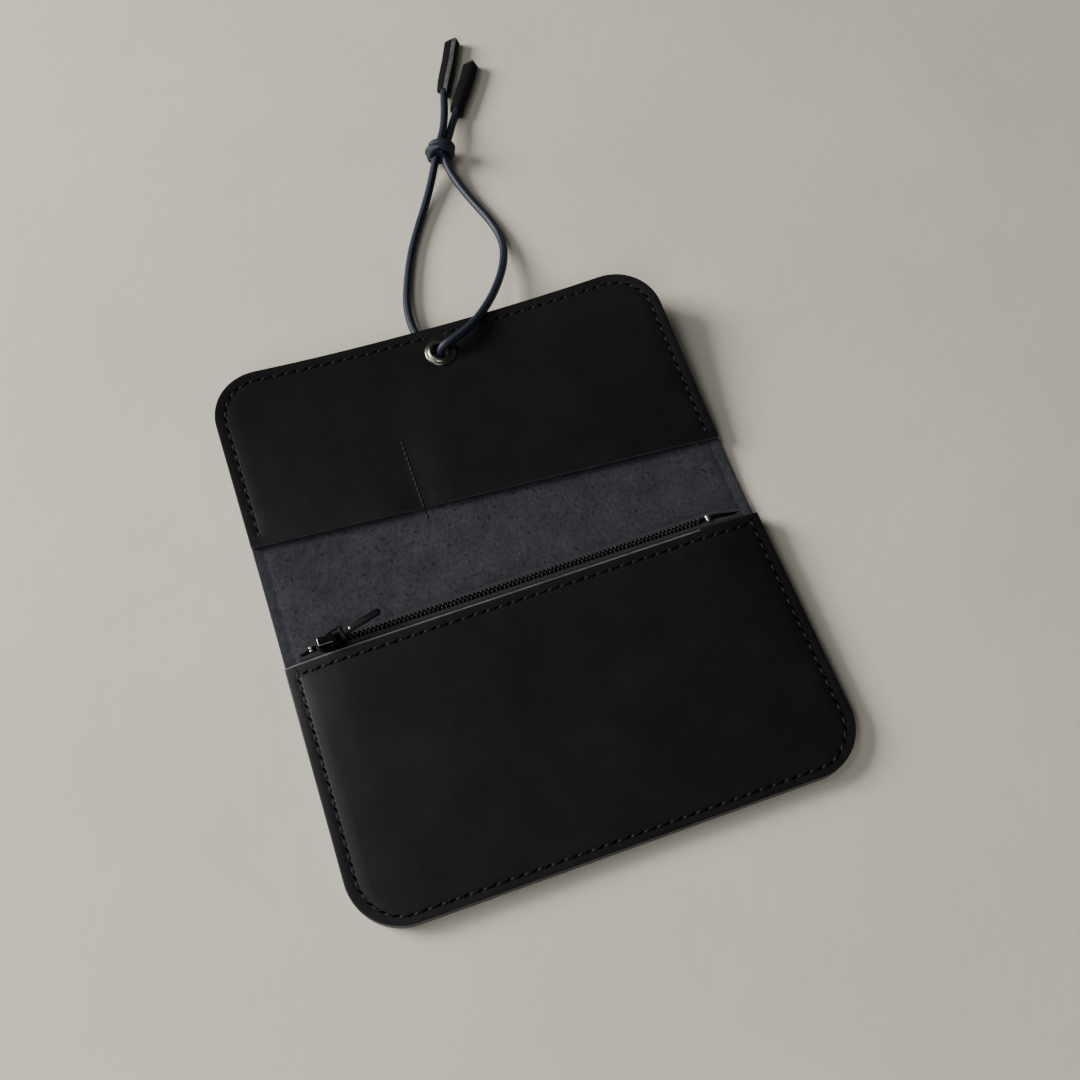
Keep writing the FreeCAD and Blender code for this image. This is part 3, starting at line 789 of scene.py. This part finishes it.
def tape(name, section):
    """A woven tape: a strip whose cross-section follows the (v, z) points."""
    last = len(section) - 1
    clear()
    bpy.ops.mesh.primitive_grid_add(x_subdivisions=90, y_subdivisions=last, size=2 * MM)
    strip = bpy.context.object
    strip.name = name

    def shape(a, b, h):
        v, z = section[round((b + 1) / 2 * last)]
        x = TAPE_REACH * a
        end = slope(x, 80, 91) + slope(-x, 84, 92)
        v = v * (1 - 0.35 * end) if v > 2 else v
        wave = 0.12 * math.sin(x / 4.3 + v) * math.sin(x / 11.0)
        rise = wave * 0.4 if abs(v - CHAIN_V) > 2.4 else 0.0
        return on_zip(x, v + 0.3 * wave, z + rise - 0.6 * end * (v > 2))

    reshape(strip, shape)
    modify(strip, "SOLIDIFY", thickness=TAPE_T * MM, offset=0)
    strip.data.materials.append(tape_cloth)
    smooth_shade(strip, 60)
    return strip


tape_front = tape("zip_tape_front_side", FRONT_TAPE)
tape_back = tape("zip_tape_back_side", BACK_TAPE)
print("tapes:", len(tape_front.data.polygons), len(tape_back.data.polygons))

# %% [markdown]
# One tooth is a small block. It is laid again and again along each row. The two rows are half a pitch apart and
# face each other, so that they mesh.

# %% Zip teeth
CHAIN_START, CHAIN_END, TOOTH_PITCH = -84.0, 75.4, 1.7
clear()
bpy.ops.mesh.primitive_cube_add(size=1, scale=(0.72 * MM, 1.6 * MM, 1.4 * MM))
tooth = bpy.context.object
settle(tooth)
pick(tooth, "FACE", lambda f: f.normal.y < -0.9)
bpy.ops.transform.resize(value=(0.8, 1, 0.8), center_override=(0, 0, 0))
bpy.ops.object.mode_set(mode="OBJECT")
modify(tooth, "BEVEL", width=0.00018, segments=1)


def tooth_places(side):
    """Every tooth of a row: the front row, side -1, starts half a pitch before the back row."""
    start = CHAIN_START + (0.4 if side < 0 else 1.25)
    heading = 0 if side > 0 else math.pi
    count = int((CHAIN_END - start) / TOOTH_PITCH)
    return [(start + TOOTH_PITCH * i, CHAIN_V + side * 0.5, heading) for i in range(count)]


def at_chain(x, v, z):
    return on_zip(x, v, CHAIN_Z + z)


teeth_front = run_seam("zip_teeth_front_row", tooth, tooth_places(-1), at_chain, tooth_metal)
teeth_back = run_seam("zip_teeth_back_row", tooth, tooth_places(1), at_chain, tooth_metal)
bpy.data.objects.remove(tooth)
print("teeth faces:", len(teeth_front.data.polygons))


# %% [markdown]
# Small metal parts start as a box, cut and bevelled until the edges catch the light as the real ones do.

# %% Stops and slider
def box_part(name, x_span, v_span, z_span, round_by, mat, segments=3):
    """A box between two places on each axis, with rounded edges."""
    spans = [sorted(span) for span in (x_span, v_span, z_span)]
    clear()
    bpy.ops.mesh.primitive_cube_add(size=1, location=[sum(span) / 2 * MM for span in spans],
                                    scale=[(high - low) * MM for low, high in spans])
    part = bpy.context.object
    part.name = name
    settle(part)
    if round_by:
        modify(part, "BEVEL", width=round_by * MM, segments=segments)
    part.data.materials.append(mat)
    return part


def slice_at(part, *places):
    """Cut a mesh straight across at each place along x."""
    take(part)
    bpy.ops.object.mode_set(mode="EDIT")
    for x in places:
        bpy.ops.mesh.select_all(action="SELECT")
        bpy.ops.mesh.bisect(plane_co=(x * MM, 0, 0), plane_no=(1, 0, 0))
    bpy.ops.object.mode_set(mode="OBJECT")


def join(name, *parts):
    """Several parts made one piece."""
    clear()
    for part in parts:
        part.select_set(True)
    bpy.context.view_layer.objects.active = parts[0]
    bpy.ops.object.join()
    joined = bpy.context.object
    joined.name = name
    smooth_shade(joined, 40)
    return joined


stop_halves = [
    box_part("stop", (-86.7, -85.3), (CHAIN_V + s * 0.1, CHAIN_V + s * 1.1), (6.1, 7.8), 0.35, bright_metal)
    for s in (-1, 1)
]
top_stops = join("zip_top_stop_pair", *stop_halves)
clip = box_part("stop", (76.6, 78.1), (CHAIN_V - 1.5, CHAIN_V + 1.5), (6.0, 8.1), 0.5, bright_metal)
bottom_stop = join("zip_bottom_stop_clip", clip)
for piece in (top_stops, bottom_stop):
    reshape(piece, on_zip)

SLIDER_LEFT, SLIDER_RIGHT = -83.8, -72.8
PLATE_BELOW, PLATE_ABOVE = (5.2, 6.0), (8.0, 8.8)


def plate(z_span):
    """One plate of the slider: a pointed nose and a slightly narrower tail."""
    v_span = (CHAIN_V - 3.2, CHAIN_V + 3.2)
    part = box_part("plate", (SLIDER_LEFT, SLIDER_RIGHT), v_span, z_span, 0, black_metal)
    slice_at(part, SLIDER_LEFT + 1.8, SLIDER_LEFT + 4.5, SLIDER_RIGHT - 2)

    def taper(x, v, z):
        if x < SLIDER_LEFT + 0.1:
            width = 0.5
        elif x > SLIDER_RIGHT - 0.1:
            width = 0.95
        else:
            width = 0.88 if x > SLIDER_LEFT + 4 else 1.0
        return x, CHAIN_V + (v - CHAIN_V) * width, z

    reshape(part, taper)
    modify(part, "BEVEL", width=0.00022, segments=3, limit_method="ANGLE", angle_limit=math.radians(25))
    return part


def flange(side, level):
    """The turned-in edge that guides the teeth."""
    v_span = (CHAIN_V + side * 2.3, CHAIN_V + side * 2.7)
    z_span = (CHAIN_Z + level * 0.5, CHAIN_Z + level * 1.05)
    return box_part("flange", (SLIDER_LEFT + 2.4, SLIDER_RIGHT - 0.6), v_span, z_span, 0.1, black_metal, 2)


bridge = box_part("bridge", (SLIDER_LEFT + 0.6, SLIDER_LEFT + 2.6), (CHAIN_V - 0.25, CHAIN_V + 0.25),
                  (6.0, 8.0), 0.05, black_metal, 1)
flanges = [flange(side, level) for side in (-1, 1) for level in (-1, 1)]
slider = join("slider_shell", plate(PLATE_ABOVE), plate(PLATE_BELOW), bridge, *flanges)
reshape(slider, on_zip)
print("slider faces:", len(slider.data.polygons))

# %% [markdown]
# The bail is a low arch over the slider. Its side rims and the front rims of its left part are bright metal,
# partly rubbed wear and partly a painted highlight. The tab is a fork whose pin sits inside the arch, and a
# flat bar with a small rivet.

# %% Bail and pull tab
PIVOT_X, PIVOT_Z, YAW, PITCH = -78.5, 9.9, math.radians(10.5), math.radians(8)
bail = box_part("slider_bail_arch", (PIVOT_X - 4.4, PIVOT_X + 2.2), (CHAIN_V - 1.6, CHAIN_V + 1.6),
                (11.1, 12.0), 0, black_metal)
slice_at(bail, PIVOT_X - 3.5, PIVOT_X + 1.3)
pick(bail, "FACE", lambda f: f.normal.z < -0.9 and abs(f.center.x / MM - PIVOT_X + 1.1) > 2.5)
bpy.ops.mesh.extrude_region_move(TRANSFORM_OT_translate={"value": (0, 0, -2.35 * MM)})
bpy.ops.object.mode_set(mode="OBJECT")
modify(bail, "BEVEL", width=0.0004, segments=3, limit_method="ANGLE", angle_limit=math.radians(40))
bail.data.materials.append(bright_metal)
# Bright metal on the side rims and on the left part's front rims: rubbed wear and a painted highlight where the
# light catches them.
for face in bail.data.polygons:
    left_part = face.center.x / MM < PIVOT_X - 0.6
    worn_and_highlit = abs(face.normal.x) > 0.3 or (face.normal.y < -0.3 and left_part)
    face.material_index = 1 if worn_and_highlit and 0.25 < face.normal.z < 0.97 else 0
smooth_shade(bail, 40)
reshape(bail, on_zip)

arms = [box_part("arm", (-0.55, 5.6), (s * 2.35, s * 2.95), (-0.5, 0.5), 0.2, black_metal) for s in (-1, 1)]
clear()
bpy.ops.mesh.primitive_cylinder_add(vertices=20, radius=0.45 * MM, depth=5.6 * MM,
                                    rotation=(math.pi / 2, 0, 0))
pin = bpy.context.object
settle(pin)
modify(pin, "BEVEL", width=0.0001, segments=1, limit_method="ANGLE", angle_limit=math.radians(60))
pin.data.materials.append(black_metal)
shoulder = box_part("shoulder", (4.8, 6.6), (-2.95, 2.95), (-0.5, 0.5), 0.22, black_metal)
bar = box_part("bar", (6.0, 22.0), (-1.4, 1.4), (-0.45, 0.45), 0, black_metal)
pick(bar, "EDGE", lambda e: middle(bar.data, e).x > 0.0219 and abs(middle(bar.data, e).y) > 0.0013)
bpy.ops.mesh.bevel(offset=0.00138, segments=8, affect="EDGES")
bpy.ops.object.mode_set(mode="OBJECT")
modify(bar, "BEVEL", width=0.00018, segments=2, limit_method="ANGLE", angle_limit=math.radians(50))
clear()
bpy.ops.mesh.primitive_uv_sphere_add(segments=16, ring_count=8, radius=0.6 * MM,
                                     location=(9.0 * MM, 0, 0.45 * MM), scale=(1, 1, 0.5))
rivet = bpy.context.object
settle(rivet)
rivet.data.materials.append(bright_metal)
pull_tab = join("pull_tab_bar", bar, shoulder, pin, rivet, *arms)
turn = Matrix.Rotation(SLANT + YAW, 4, "Z") @ Matrix.Rotation(-PITCH, 4, "Y")
pull_tab.data.transform(Matrix.Translation(Vector(on_zip(PIVOT_X, CHAIN_V, PIVOT_Z)) * MM) @ turn)
print("pull tab faces:", len(pull_tab.data.polygons))

# %% [markdown]
# The eyelet is a turned ring with a broad rolled flange, and a washer on the other side of the flap. Both
# are turned: a circle is extruded and scaled ring by ring, like a profile on a lathe, and its last ring is
# bridged to the first. The flange has a rounded crest and a flat brim, so only the crest catches the light.

# %% Eyelet
def turned(name, profile, centre, mat, tilt):
    """A closed ring with the given (radius, height) profile."""
    clear()
    r, z = profile[0]
    bpy.ops.mesh.primitive_circle_add(vertices=64, radius=r * MM, location=(0, 0, z * MM))
    part = bpy.context.object
    part.name = name
    settle(part)
    bpy.ops.object.mode_set(mode="EDIT")
    bpy.ops.mesh.select_all(action="SELECT")
    for wide, high in profile[1:]:
        bpy.ops.mesh.extrude_edges_move(TRANSFORM_OT_translate={"value": (0, 0, (high - z) * MM)})
        bpy.ops.transform.resize(value=(wide / r, wide / r, 1), center_override=(0, 0, 0))
        r, z = wide, high
    bpy.ops.object.mode_set(mode="OBJECT")

    def on_ring(index, ring):
        x, y, height = part.data.vertices[index].co / MM
        return abs(math.hypot(x, y) - ring[0]) < 0.01 and abs(height - ring[1]) < 0.01

    def on_end(e):
        return any(all(on_ring(i, ring) for i in e.vertices) for ring in (profile[0], profile[-1]))

    pick(part, "EDGE", on_end)
    bpy.ops.mesh.bridge_edge_loops()
    bpy.ops.mesh.select_all(action="SELECT")
    bpy.ops.mesh.normals_make_consistent(inside=False)
    bpy.ops.object.mode_set(mode="OBJECT")
    part.data.materials.append(mat)
    smooth_shade(part, 50)
    part.data.transform(Matrix.Translation(Vector(centre) * MM) @ Matrix.Rotation(tilt, 4, "X"))
    return part


nickel = finish("aged_nickel", (0.2, 0.19, 0.165), 0.3, specular=0.5, metallic=1.0)
age = noise(nickel, 160, 5, 0.6)
tint(nickel, age, (0.3, (0.09, 0.083, 0.07)), (0.7, (0.22, 0.21, 0.185)))
gloss(nickel, age, 0.2, 0.2)
bump(nickel, noise(nickel, 1800, 3), 0.00004, 0.4)
ring_profile = [
    (3.5, -2.5), (3.5, 2.0), (3.6, 2.5), (3.9, 2.78), (4.3, 2.88), (4.7, 2.82), (5.1, 2.6), (5.35, 2.35),
    (5.6, 2.2), (6.2, 2.12), (6.55, 1.95), (6.7, 1.75), (6.6, 1.5), (4.0, 1.3), (4.0, -2.5),
]
washer_profile = [(4.06, -1.86), (4.06, -2.4), (4.4, -2.5), (5.6, -2.45), (6.2, -2.15), (6.3, -1.86)]
ring_at = on_cover(EYELET_X, EYELET_U, -curl(EYELET_X, 93.2))
eyelet = turned("eyelet_ring", ring_profile, ring_at, nickel, 2 * TILT)
washer = turned("eyelet_back_washer", washer_profile, ring_at, nickel, 2 * TILT)
print("eyelet faces:", len(eyelet.data.polygons), len(washer.data.polygons))

# %% [markdown]
# The hole in the leather is cut with a plug the size of the ring's barrel, through the cover and the card
# pocket.

# %% Punch the hole
clear()
bpy.ops.mesh.primitive_cylinder_add(vertices=48, radius=4.15 * MM, depth=14 * MM,
                                    location=Vector(ring_at) * MM, rotation=(2 * TILT, 0, 0))
punch = bpy.context.object
for sheet in (cover_flap, card_panel):
    modify(sheet, "BOOLEAN", operation="DIFFERENCE", object=punch, solver="EXACT")
bpy.data.objects.remove(punch)
print("flap after punching:", len(cover_flap.data.polygons), len(card_panel.data.polygons))

# %% [markdown]
# The cord's braid is two sets of fine threads that cross. The curve carries its own UV map, along and round
# the cord, so two slanted waves in that map give a braid that follows every bend.

# %% Braid
CORD_LENGTH, BRAID_PITCH, BRAID_ROUNDS = 170.0, 1.5, 8
braid = finish("cord_braid", (0.008, 0.01, 0.02), 0.55, specular=0.35)
coordinates = braid.node_tree.nodes.new("ShaderNodeTexCoord")
parts = braid.node_tree.nodes.new("ShaderNodeSeparateXYZ")
braid.node_tree.links.new(coordinates.outputs["UV"], parts.inputs[0])
along = calc(braid, "MULTIPLY", parts.outputs[0], CORD_LENGTH / BRAID_PITCH * math.pi)
around = calc(braid, "MULTIPLY", parts.outputs[1], BRAID_ROUNDS * math.pi)
one_way = calc(braid, "SINE", calc(braid, "ADD", along, around))
other_way = calc(braid, "SINE", calc(braid, "SUBTRACT", along, around))
weave = calc(braid, "MULTIPLY_ADD", calc(braid, "MULTIPLY", one_way, other_way), 0.5, 0.5)
tint(braid, weave, (0.25, (0.003, 0.004, 0.011)), (0.8, (0.012, 0.016, 0.038)))
bump(braid, weave, 0.00018, 0.7)
front_strand.data.materials.append(braid)
back_strand.data.materials.append(braid)
print("braid has", len(braid.node_tree.nodes), "nodes")

# %% [markdown]
# The knot: one cord is wound round both strands and tucked under itself. It is a wound line, close to an
# ellipse, whose turns lie beside each other with a last turn that crosses over them.

# %% Knot
KNOT = Vector((34.8, 215.0, 5.8))
RUN = Vector((0.36, 0.933, 0.0)).normalized()
ACROSS = Vector((RUN.y, -RUN.x, 0.0))
UP = Vector((0, 0, 1))


def wind(name, radius_a, radius_b, turns, start, low, high, tilt, reach):
    """A line wound round the knot's run, from low to high along it."""
    count = int(turns * 10) + 1
    route = []
    for i in range(count):
        t = i / (count - 1)
        angle = start + 2 * math.pi * turns * t
        swell = 1.0 - reach * (abs(t - 0.5) * 2) ** 3
        place = KNOT + ACROSS * radius_a * swell * math.cos(angle) + UP * radius_b * swell * math.sin(angle)
        place += RUN * (low + (high - low) * t + tilt * math.cos(angle))
        route.append(tuple(place))
    line = cord_curve(name, route, CORD_D)
    line.data.materials.append(braid)
    return line


turns = wind("turns", 5.6, 3.75, 2.1, math.pi * 0.9, -3.3, 3.6, 0.9, 0.25)
over = wind("over", 4.6, 3.7, 0.9, -math.pi * 0.45, 3.2, -4.2, 0.6, 0.3)
knot_parts = []
for line in (turns, over):
    take(line)
    bpy.ops.object.convert(target="MESH")
    knot_parts.append(bpy.context.object)
core = cord_curve("core", [tuple(KNOT + RUN * d - UP * 0.3) for d in (-3.6, 0.0, 3.6)], 7.4)
core.data.materials.append(braid)
take(core)
bpy.ops.object.convert(target="MESH")
knot = join("cord_knot_wound", *knot_parts, bpy.context.object)
print("knot size:", [round(d / MM, 1) for d in knot.dimensions])

# %% [markdown]
# Each cord end is wrapped in a strip of leather, folded lengthwise over the cord and pressed, so it has a
# ridge on top, two flat flanks, and a pointed far end.

# %% Leather tips
def leather_tip(name, at, to, length, ridge, band, width=7.5, thick=4.6, step=2.2):
    """A folded strip. ridge is the fold's place across the width and band the flat part of it, whose upward
    faces take the lighter cut-edge finish when it is wide; step is how far the right side reaches lower."""
    clear()
    bpy.ops.mesh.primitive_cube_add(size=MM)
    tip = bpy.context.object
    tip.name = name
    reshape(tip, lambda x, y, z: ((x + 0.5) * length, y * width, z * thick))
    point = length - 3.4
    bpy.ops.object.mode_set(mode="EDIT")
    lengthwise = [((0, side * band * width / 2, 0), (0, 1, 0)) for side in (0, 1, -1)]
    crosswise = [((x, 0, 0), (1, 0, 0)) for x in (2.0, 5.0, 12.0, 20.0, 28.0, point)]
    for place, normal in [((0, 0, 0), (0, 0, 1)), *lengthwise, *crosswise]:
        bpy.ops.mesh.select_all(action="SELECT")
        bpy.ops.mesh.bisect(plane_co=[c * MM for c in place], plane_no=normal)
    bpy.ops.object.mode_set(mode="OBJECT")

    def fold(x, y, z):
        across, end = 2 * y / width, max(x - point, 0) / 3.4
        high = 1 - 0.5 * max(abs(across) - band, 0) / (1 - band)
        x -= 3.3 * end * abs(across)
        x -= step * max(1 - x / 5, 0) * (1 if across < -0.05 else 0)
        sharpen = 1 - 0.25 * max(x - point, 0) / 3.4
        narrow = 1 - 0.1 * (1 - slope(x, 0, 9))
        wave = 0.14 * math.sin(x / 4)
        return x, (y - ridge * width * (1 - abs(across))) * narrow + wave, z * high * sharpen

    reshape(tip, fold)
    modify(tip, "BEVEL", width=0.00028, segments=3, limit_method="ANGLE", angle_limit=math.radians(24))
    tip.data.materials.append(leather)
    tip.data.materials.append(cut_edge)
    for face in tip.data.polygons:
        rim = face.normal.x > 0.6 or (abs(face.normal.y) > 0.6 and face.normal.z < 0.2)
        face.material_index = 1 if rim or (band > 0.2 and face.normal.z > 0.985) else 0
    smooth_shade(tip, 30)
    aim = Vector(to) - Vector(at)
    yaw = math.atan2(aim.y, aim.x)
    tip.data.transform(Matrix.Translation(Vector(at) * MM) @ Matrix.Rotation(yaw, 4, "Z"))
    return tip


tip_front = leather_tip("cord_tip_front_leather", (51.0, 239.9, 2.7), (69.1, 270.1, 2.7), 33.8, 0.04, 0.13)
tip_back = leather_tip("cord_tip_back_leather", (48.9, 254.6, 2.7), (64.9, 288.6, 2.7), 36.0, 0.16, 0.28)
print("tips:", [[round(d / MM, 1) for d in tip.dimensions] for tip in (tip_front, tip_back)])

# %% [markdown]
# Every piece but the cover's two halves is now tied to the frame: it takes the place of its CAD node and rides
# on a body. The two halves of the cover take the place of the cover's CAD nodes, with their places baked into
# their meshes.

# %% Tie the pieces to the bodies
SLOTS = {
    "leather_outer": (cover, cover_flap), "leather_smooth": (card_panel, coin_front, tip_front, tip_back),
    "leather_suede": (coin_back,), "zip_tape": (tape_front, tape_back),
    "zip_teeth": (teeth_front, teeth_back),
    "zip_stop": (top_stops, bottom_stop), "slider": (slider, bail, pull_tab), "eyelet": (eyelet, washer),
    "thread": (
        *seam_pocket, *seam_zip, *seam_flap,
        seam_divider, seam_pocket_back, seam_flap_back, seam_divider_back,
    ),
    "cord": (front_strand, back_strand, knot),
}
for slot_name, pieces in SLOTS.items():
    for piece in pieces:
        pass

RIDES = {
    "base": [
        (coin_front, "coin_pocket_front"), (coin_back, "coin_pocket_back"), (tape_front, "zip_tape_front"),
        (tape_back, "zip_tape_back"), (teeth_front, "zip_teeth_front"), (teeth_back, "zip_teeth_back"),
        (top_stops, "zip_top_stops"), (bottom_stop, "zip_bottom_stop"), (seam_pocket[0], "seam_pocket"),
        (seam_pocket[1], None), (seam_zip[0], "seam_zip"), (seam_zip[1], None), (seam_pocket_back, None),
    ],
    "flap": [
        (card_panel, "card_pocket_panel"), (eyelet, "eyelet"), (washer, "eyelet_washer"),
        (seam_flap[0], "seam_flap"), (seam_flap[1], None), (seam_divider, "seam_divider"),
        (seam_flap_back, None),
        (seam_divider_back, None),
    ],
    "slider": [(slider, "slider_body"), (bail, "slider_bail")],
    "pull_tab": [(pull_tab, "pull_tab")],
    "cord_loop": [
        (front_strand, "cord_front_strand"), (back_strand, "cord_back_strand"), (knot, "cord_knot"),
        (tip_front, "cord_tip_front"), (tip_back, "cord_tip_back"),
    ],
}
for body, pairs in RIDES.items():
    for piece, cad_node in pairs:
        if cad_node:
            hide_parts(cad_node)
        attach(piece, body)
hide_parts("cover_back", "cover_spine")
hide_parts("cover_flap")
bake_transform(cover)
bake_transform(cover_flap)
tuple(c * MM for c in FRONT_ROUTE[0])
tuple(c * MM for c in BACK_ROUTE[0])
print("tied", sum(len(p) for p in RIDES.values()) + 2, "pieces")

# %% [markdown]
# The table is a plain pale surface with a very faint unevenness. A large soft light stands low to the left,
# like a window, so shadows fall to the right and stay soft. Two weak lamps help it: one near the wallet's
# lower left corner, and one above.

# %% Table and light
clear()
bpy.ops.mesh.primitive_plane_add(size=6, location=(0, 0, 0))
floor = bpy.context.object
floor.name = "table"
plaster = finish("pale_table", (0.56, 0.53, 0.46), 0.85, specular=0.2)
tint(plaster, noise(plaster, 9, 4), (0.3, (0.545, 0.51, 0.43)), (0.7, (0.595, 0.56, 0.475)))
bump(plaster, noise(plaster, 120, 5, 0.6), 0.0004, 0.35)
floor.data.materials.append(plaster)


def soft_light(name, place, aim, size, power, colour):
    """A rectangular lamp that faces a point."""
    clear()
    bpy.ops.object.light_add(type="AREA", location=place)
    lamp = bpy.context.object
    lamp.name = name
    lamp.data.shape = "RECTANGLE"
    lamp.data.size, lamp.data.size_y = size
    lamp.data.energy = power
    lamp.data.color = colour
    lamp.rotation_euler = (Vector(aim) - Vector(place)).to_track_quat("-Z", "Y").to_euler()


soft_light("window", (-1.75, 1.05, 0.88), (0, 0, 0), (1.0, 0.85), 110, (1.0, 0.985, 0.95))
soft_light("fill", (-0.55, -0.7, 0.7), (-0.1, -0.15, 0), (0.5, 0.5), 4.2, (1.0, 0.98, 0.96))
soft_light("upper_pane", (-0.7, 0.3, 1.3), (0, 0, 0), (0.5, 0.4), 3.5, (0.95, 0.98, 1.0))
world = bpy.data.worlds.new("room")
world.use_nodes = True
background = world.node_tree.nodes["Background"]
background.inputs["Color"].default_value = (0.95, 0.97, 1.0, 1)
background.inputs["Strength"].default_value = 0.07
bpy.context.scene.world = world
